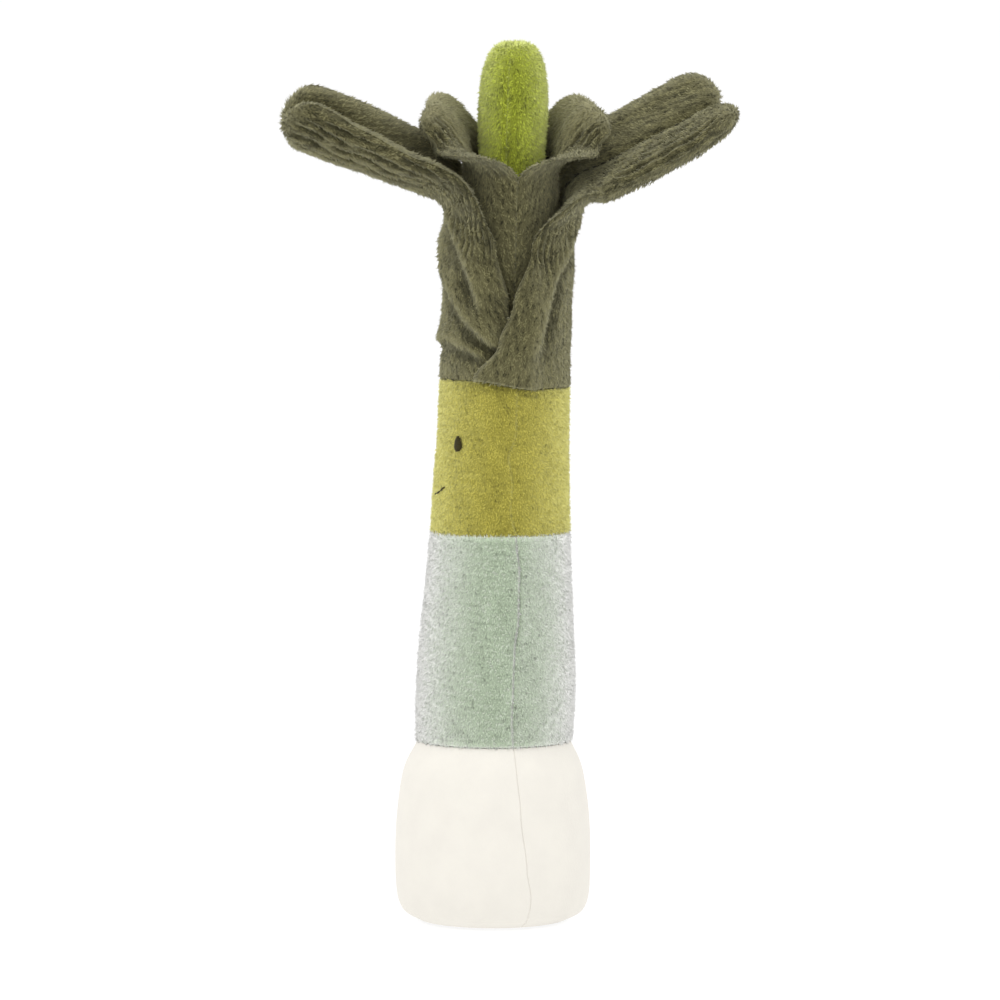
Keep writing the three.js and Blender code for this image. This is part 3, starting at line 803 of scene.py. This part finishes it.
def leaf_cloth(leaf, rows, columns, crests, rib_share, shown_above, shown_below):
    """The whole padded leaf: its lining is above the grid and its outside below it. rib_share holds the
    stations of the shares of its width between which it is ribbed, and shown those where it has pile.
    """
    g = leaf_grid(leaf, rows, columns)
    distance, share = g["distance"], g["share"]
    half = leaf_half(leaf, distance, share)
    to_side = g["width"] - np.abs(g["out"])
    side_roll = half * 1.15 * along(leaf["side_roll"], distance)
    level = leaf["level_seam"] * along(((66, 1.0), (76, 0.0)), distance) * ease(to_side, 1.5, 0.0)
    edge = half * rolled_edge(to_side, side_roll) * rolled_edge(g["to_tip"], half * 1.3)
    edge = edge * rolled_edge(distance, 0.6)
    near = g["out"] * leaf["heading"]
    relief, tone = crest_relief(distance, near, crests)
    lump = 0.3 * wobble(g["place"], 16.0, 6)
    lumpy = ease(to_side, 0, 6) * ease(g["to_tip"], 0, 6) * ease(distance, 0, 5)
    low, high = rib_share
    strong = ease(np.abs(share), along(low, distance), along(low, distance) + 0.15)
    strong = strong * ease(np.abs(share), along(high, distance) + 0.08, along(high, distance) - 0.08)
    strong = strong * along(leaf["rib_start"], distance) * ease(g["to_tip"], 2.0, 8.0)
    strong = strong * np.clip(0.8 + 0.7 * wobble(g["place"], 8.0, 8), 0, 1)
    flat = g["width"] - side_roll
    over = np.clip((np.abs(g["out"]) - flat) / side_roll, 0, 1)
    surface = np.minimum(np.abs(g["out"]), flat) + side_roll * np.arcsin(over)
    phase = (surface + 1.0 * wobble(g["place"], 13.0, 5)) / along(leaf["rib_width"], distance)
    valley = (0.5 - 0.5 * np.cos(2 * np.pi * phase)) ** 2
    ribbed_above = leaf["ribs_above"] * ease(near, 0.0, 1.0)
    above = edge - PILE_STAND + lump * lumpy - RIB_DEPTH * ribbed_above * strong * valley
    above = np.maximum(above, THINNEST) + level
    below = edge - PILE_STAND + (relief + lump) * lumpy - RIB_DEPTH * strong * valley
    below = np.maximum(below - level, THINNEST)
    middle = g["place"] - g["normal"] * level[..., None]
    tone = tone + leaf["hem_tone"] * along(((0, 1.0), (16, 0.0)), distance)
    # Paler towards the inner leaves' lobe tips, except on the near side: painted sheen on their lining.
    tone += leaf["tip_sheen"] * along(((72, 0.0), (84, 1.0)), distance) * (1 - ease(near, 4.0, 11.0))
    # Painted shade where the pile parts along the leaf's edges, stronger towards the sheath.
    parted_shade = 0.7 * leaf["parted_shade"] * along(((0, 1.0), (90, 0.3)), distance)
    nap = g["upward"] * -0.9 + np.sign(g["out"])[..., None] * g["across"] * 0.35
    return Cloth(
        leaning(middle), g["normal"], above, below, nap, g["across"] * np.sign(g["out"])[..., None],
        cover=along(shown_above, distance), cover_below=along(shown_below, distance),
        ribbed_above=ribbed_above, ribbed=strong, phase=phase,
        strand=distance, beside=surface + 0.3 * distance,
        tone=tone, parting=parted_shade * ease(to_side, 0.8, 0.0),
    )


# The outer leaves' folds: each is a line of (distance, near) points and a height.
FRONT_CRESTS = (
    (((62, 1.0), (51, 7.7), (43, 13.7), (36.6, 16.5), (29.4, 19.4), (22, 22)), 1.3),
    (((56, -6.0), (44, -3.0), (37.5, 1.5), (30, 8.4), (22, 15.6), (13, 26.4), (8, 33)), 1.7),
    (((15, -8.0), (14.5, 0.0), (15.5, 8.0), (12, 17.0), (7, 26.0)), 1.2),
)
BACK_CRESTS = (
    (((60, 3.0), (52, 7.4), (44, 13), (36.6, 18.8), (28.4, 21.7), (21, 23.7), (12.7, 26), (5, 28)), 1.5),
)

# The leaves' pile is longer, brushed flat and lies in strands.
LEAF_BRUSHED = dict(length=1.45, lie=0.62, clump=0.35, contrast=2.3, strands=0.8)


def outer_leaf(key, crests):
    """A long leaf with its pile: the outside all over, the lining only where the blade bends out."""
    leaf = OUTER_LEAVES[key]
    cloth = leaf_cloth(
        leaf, 124, 46, crests, (((30, 0.5), (70, 0.12)), ((40, 0.97), (80, 0.99))),
        ((44, 0.0), (52, 1.0)), ((0, 1.0),),
    )
    name = "outer_leaf_" + key
    cloth_piece(name, cloth, LEAF_CLOTH, [name + "_outside", name + "_lining"])
    seed = 70 + int(leaf["heading"])
    pile("outer_leaf_pile_" + key, cloth, LEAF_PILE, "leaf_plush", 2.8, seed=seed, **LEAF_BRUSHED)


def inner_leaf(key):
    """A short leaf with its pile: the outside above its hidden hem, the lining only at its lobes."""
    leaf = INNER_LEAVES[key]
    cloth = leaf_cloth(
        leaf, 84, 26, (), (((60, 0.3), (75, 0.3)), ((60, 0.8), (80, 0.99))),
        ((64, 0.0), (70, 1.0)), ((10, 0.0), (20, 1.0)),
    )
    name = "inner_leaf_" + key
    cloth_piece(name, cloth, LEAF_CLOTH, [name + "_outside", name + "_lining"])
    seed = 80 + int(leaf["heading"])
    pile("inner_leaf_pile_" + key, cloth, LEAF_PILE, "leaf_plush", 2.6, seed=seed, **LEAF_BRUSHED)


# Threads, bottom panel and filling.

EYE_THREAD = 0.36
EYE_THREADS = 10
SMILE_THREAD = 0.34
SMILE_STITCHES = 6
MIDRIB_THREAD = 0.3
MIDRIB_STITCH = 2.1
MIDRIB_STEP = 3.1
MIDRIB_FIRST = 64.0
MIDRIB_LAST = 9.0
THREAD_SIDES = 8
LUMP_SIZE = 7.0
LUMP_SEED = 4


def tube(path, radius):
    """A closed thread along a path of points, its ends drawn to a point. Returns points and quads."""
    path = np.asarray(path, float)
    ahead = unit(np.gradient(path, axis=0))
    reference = np.where(np.abs(ahead[:, 2:3]) > 0.9, [[1.0, 0, 0]], [[0, 0, 1.0]])
    first = unit(np.cross(ahead, reference))
    second = np.cross(ahead, first)
    angle = np.linspace(0, 2 * np.pi, THREAD_SIDES, endpoint=False)
    t = np.linspace(-1, 1, len(path))
    thick = radius * np.sqrt(np.maximum(0.02, 1 - t**6))
    ring = first[:, None] * np.cos(angle)[None, :, None] + second[:, None] * np.sin(angle)[None, :, None]
    points = (path[:, None] + ring * thick[:, None, None]).reshape(-1, 3)
    grid = np.arange(len(path) * THREAD_SIDES).reshape(len(path), THREAD_SIDES)
    grid = np.concatenate([grid, grid[:, :1]], axis=1)
    faces = quads(grid)
    caps = []
    for row, flip in ((grid[0, :-1], False), (grid[-1, :-1], True)):
        fan = np.stack([row, np.roll(row, -1)], axis=1)
        centre = len(points)
        points = np.vstack([points, points[row].mean(axis=0)])
        quad = np.stack([fan[::2, 0], fan[::2, 1], fan[1::2, 1], np.full(THREAD_SIDES // 2, centre)], axis=1)
        caps.append(quad[:, ::-1] if flip else quad)
    return points, np.concatenate([faces[:, ::-1]] + [c[:, ::-1] for c in caps])


def threads(name, paths, radius, material):
    """Many threads as one piece, which stands for the node of its name."""
    points, faces, start = [], [], 0
    for path in paths:
        p, f = tube(path, radius)
        points.append(p)
        faces.append(f + start)
        start += len(p)
    made = make_mesh(name, np.concatenate(points), np.concatenate(faces), material)
    return sewn(made, [name])


def on_face(angle, z, reach):
    """Places on the face at an angle from its middle, a height, and a reach from the stem's middle."""
    return leaning(np.stack([reach * np.sin(angle), -reach * np.cos(angle), z + 0 * angle], axis=-1))


def eyes():
    """Each eye is satin stitch: level threads laid one above another inside a teardrop outline."""
    for name, side in (("eye_left", 1), ("eye_right", -1)):
        paths = []
        for level in np.linspace(-0.92, 0.92, EYE_THREADS):
            width = EYE_HALF_WIDTH * np.sqrt(1 - level**2) * (1 - 0.35 * level)
            t = np.linspace(-1, 1, 9)
            rise = 0.55 * np.sqrt(np.maximum(0.0, 1 - t**2)) - 0.25
            angle = side * EYE_ANGLE + t * width / FACE_RADIUS
            height = EYE_HEIGHT + level * EYE_HALF_HEIGHT + 0.12 * t
            paths.append(on_face(angle, height, FACE_RADIUS - 0.5 + rise))
        threads(name, paths, EYE_THREAD, FACE_THREAD)


def smile():
    """Back stitches end to end along a shallow arc, each dipping into the cloth at its ends."""
    paths = []
    ends = np.linspace(-1, 1, SMILE_STITCHES + 1)
    for start, end in zip(ends, ends[1:]):
        t = np.linspace(0.04, 0.96, 9)
        share = start + (end - start) * t
        dip = 0.5 * np.sin(np.pi * t) - 0.2
        angle = share * SMILE_ANGLE
        paths.append(on_face(angle, SMILE_HEIGHT + SMILE_RISE * share**2, FACE_RADIUS - 0.35 + dip))
    threads("smile", paths, SMILE_THREAD, FACE_THREAD)


def midrib_stitches(key):
    """Running stitches along the pinched midrib, on the lining side."""
    leaf = OUTER_LEAVES[key]
    paths = []
    for start in np.arange(MIDRIB_FIRST, leaf_length(leaf) - MIDRIB_LAST, MIDRIB_STEP):
        t = np.linspace(0, 1, 7)
        distance = start + MIDRIB_STITCH * t
        y, z, turn = midrib(leaf, distance)
        plus = np.radians(along(leaf["wing_plus"], distance))
        minus = np.radians(along(leaf["wing_minus"], distance))
        above = leaf_half(leaf, distance, 0.0) / np.cos((plus + minus) / 2) + 0.45 * np.sin(np.pi * t) - 0.1
        x = -np.sin((plus - minus) / 2) * above
        inward = np.cos((plus - minus) / 2) * above
        paths.append(leaning(standing(leaf, x, inward, y, z, turn)))
    name = "midrib_stitching_" + key
    threads(name, paths, MIDRIB_THREAD, LEAF_THREAD)


def turned_solid(outline, rows, columns, lumps):
    """A lumpy solid of revolution about the leaning stem: an outline carried round, closed at both ends."""
    edge = spline(outline, rows)
    angle = np.linspace(0, 2 * np.pi, columns, endpoint=False)[None, :]
    radius = edge[1:-1, 0][:, None]
    height = edge[1:-1, 1][:, None] + 0 * angle
    points = np.stack([radius * np.cos(angle), radius * np.sin(angle), height], axis=-1)
    out = np.stack([np.cos(angle) + 0 * radius, np.sin(angle) + 0 * radius, 0 * height], axis=-1)
    points = points - out * (lumps * (0.5 + 0.5 * wobble(points, LUMP_SIZE, LUMP_SEED)))[..., None]
    count = len(edge) - 2
    grid = np.arange(count * columns).reshape(count, columns)
    grid = np.concatenate([grid, grid[:, :1]], axis=1)
    faces = quads(grid)
    flat = points.reshape(-1, 3)
    caps = []
    for row, pole in ((grid[0, :-1], edge[0, 1]), (grid[-1, :-1], edge[-1, 1])):
        centre = len(flat)
        flat = np.vstack([flat, [0.0, 0.0, pole]])
        nxt = np.roll(row, -1)
        quad = np.stack([row[::2], nxt[::2], nxt[1::2], np.full(columns // 2, centre)], axis=1)
        caps.append(quad if pole == edge[-1, 1] else quad[:, ::-1])
    faces = np.concatenate([faces] + caps)
    return leaning(flat), faces


def fillings():
    """The pellet pouch, the stem stuffing and the bud stuffing, each a little smaller than its room."""
    inside = CLOTH + 1.0
    pouch = ((0, 2.6), (18, 2.7), (24.8, 6), (25.8, 13), (24.4, 20.5), (16, 23.6), (0, 23.9))
    stem = (
        (0, 24.6), (18, 24.8), (28.6, 30), (27.4, 46), (23.0, BASE_SEAM), (MINT_OUTLINE[1][0] - inside, 76),
        (24.0 - inside, MINT_SEAM), (22.4 - inside, 176), (12.2, 186), (12.2, 230), (7, 236.4), (0, 237),
    )
    middle = ((0, 243.4), (6, 244.6), (8.4, 250), (9.0, 262), (9.4, 275), (8.4, 287), (4.4, 295), (0, 296.6))
    for name, outline, rows, lumps, material, slot in (
        ("pellet_pouch", pouch, 40, 0.8, POUCH, "pouch_cloth"),
        ("stem_stuffing", stem, 120, 0.9, FIBRE, "fibre_stuffing"),
        ("bud_stuffing", middle, 40, 0.7, FIBRE, "fibre_stuffing"),
    ):
        points, faces = turned_solid(outline, rows, 48, lumps)
        sewn(make_mesh(name, points, faces, material), [name])


def bottom_panel():
    """A round padded panel, flat where it stands and rounded up at its rim."""
    outline = (
        (0, 0.0), (10, 0.0), (18, 0.0), (21.2, 0.25), (22.0, 1.1), (21.2, 2.0), (17, 2.2), (8, 2.2), (0, 2.2),
    )
    points, faces = turned_solid(outline, 60, 64, 0.0)
    points[:, 2] = np.maximum(points[:, 2], 0.0)
    sewn(make_mesh("bottom_panel", points, faces, WHITE_PLUSH), ["bottom_panel"])


# Studio and camera.

LENS = 170.0
SENSOR = 36.0
VIEW_AZIMUTH = np.radians(81.5)
VIEW_DISTANCE = 1600.0
VIEW_HEIGHT = 254.0
TARGET = np.array([0.0, 2.4, 143.0])
FLOOR_REACH = 4000.0
FLOOR_DROP = 0.05
FLOOR_GLOW = 0.84
WORLD_LIGHT = 1.02


def camera():
    """A long lens from the toy's left side, turned a little to its face and looking slightly down."""
    data = bpy.data.cameras.new("camera")
    data.lens = LENS
    data.sensor_width = SENSOR
    data.clip_end = 20.0
    eye = bpy.data.objects.new("camera", data)
    bpy.context.scene.collection.objects.link(eye)
    drop = VIEW_HEIGHT - TARGET[2]
    level = np.sqrt(VIEW_DISTANCE**2 - drop**2)
    place = TARGET + [level * np.sin(VIEW_AZIMUTH), -level * np.cos(VIEW_AZIMUTH), drop]
    eye.location = place * MM
    eye.rotation_euler = Vector((TARGET - place)).to_track_quat("-Z", "Y").to_euler()
    bpy.context.scene.camera = eye


def area_light(name, place, size, power):
    """A square light in metres and watts, aimed at the toy's middle."""
    data = bpy.data.lights.new(name, "AREA")
    data.size = size
    data.energy = power
    lamp = bpy.data.objects.new(name, data)
    lamp.location = place
    lamp.rotation_euler = (Vector((0, 0, 0.15)) - Vector(place)).to_track_quat("-Z", "Y").to_euler()
    bpy.context.scene.collection.objects.link(lamp)


def studio():
    """A white sweep in even, soft light that is a little stronger from above."""
    bpy.context.scene.view_settings.view_transform = "Standard"
    world = bpy.data.worlds.new("studio")
    world.use_nodes = True
    background = world.node_tree.nodes["Background"]
    background.inputs[0].default_value = (1, 1, 1, 1)
    background.inputs[1].default_value = WORLD_LIGHT
    bpy.context.scene.world = world
    area_light("overhead", place=(0.3, -0.2, 1.3), size=0.8, power=4.0)
    shade = Shade("studio_floor")
    paper = shade.noise(3.0, 2.0)
    tone = shade.ramp(paper, (0.0, (0.2, 0.2, 0.2)), (1.0, (0.22, 0.22, 0.22)))
    material = shade.finish(tone, 0.9)
    shader = material.node_tree.nodes["Principled BSDF"]
    shader.inputs["Emission Color"].default_value = (1, 1, 1, 1)
    shader.inputs["Emission Strength"].default_value = FLOOR_GLOW
    corners = FLOOR_REACH * np.array([[-1.0, -1.0, 0.0], [1.0, -1.0, 0.0], [1.0, 1.0, 0.0], [-1.0, 1.0, 0.0]])
    corners[:, 2] = -FLOOR_DROP
    make_mesh("floor", corners, np.array([[0, 1, 2, 3]]), material)


camera()
studio()
bottom_panel()
band("base", BASE_OUTLINE, [WHITE_PLUSH], "white_plush", 0, 64, 50,
     dict(inset=0.0, seam=0.02, groove=0.14))
band("mint", MINT_OUTLINE, [MINT_CLOTH, MINT_PILE], "mint_plush", 3.6, 56, 52,
     dict(seam=0.5, top_spread=1.0),
     length=1.4, width=0.44, drift_size=2.1, clump=0.6, contrast=1.35, strands=0.45)
band("face", FACE_OUTLINE, [FACE_CLOTH, FACE_PILE], "yellow_green_plush", 4.2, 52, 42,
     dict(seam=0.1, hem_shade=0.16), length=1.3, width=0.42, drift_size=2.0, contrast=1.45, strands=0.3)
outer_leaf("back", BACK_CRESTS)
outer_leaf("front", FRONT_CRESTS)
inner_leaf("back")
inner_leaf("front")
band("bud", BUD_OUTLINE, [BUD_CLOTH, BUD_PILE], "bud_plush", 4.2, 40, 56,
     dict(inset=1.3, seam=0.0), fill=0.8, length=1.5, width=0.42, contrast=1.9)
eyes()
smile()
midrib_stitches("back")
midrib_stitches("front")
fillings()
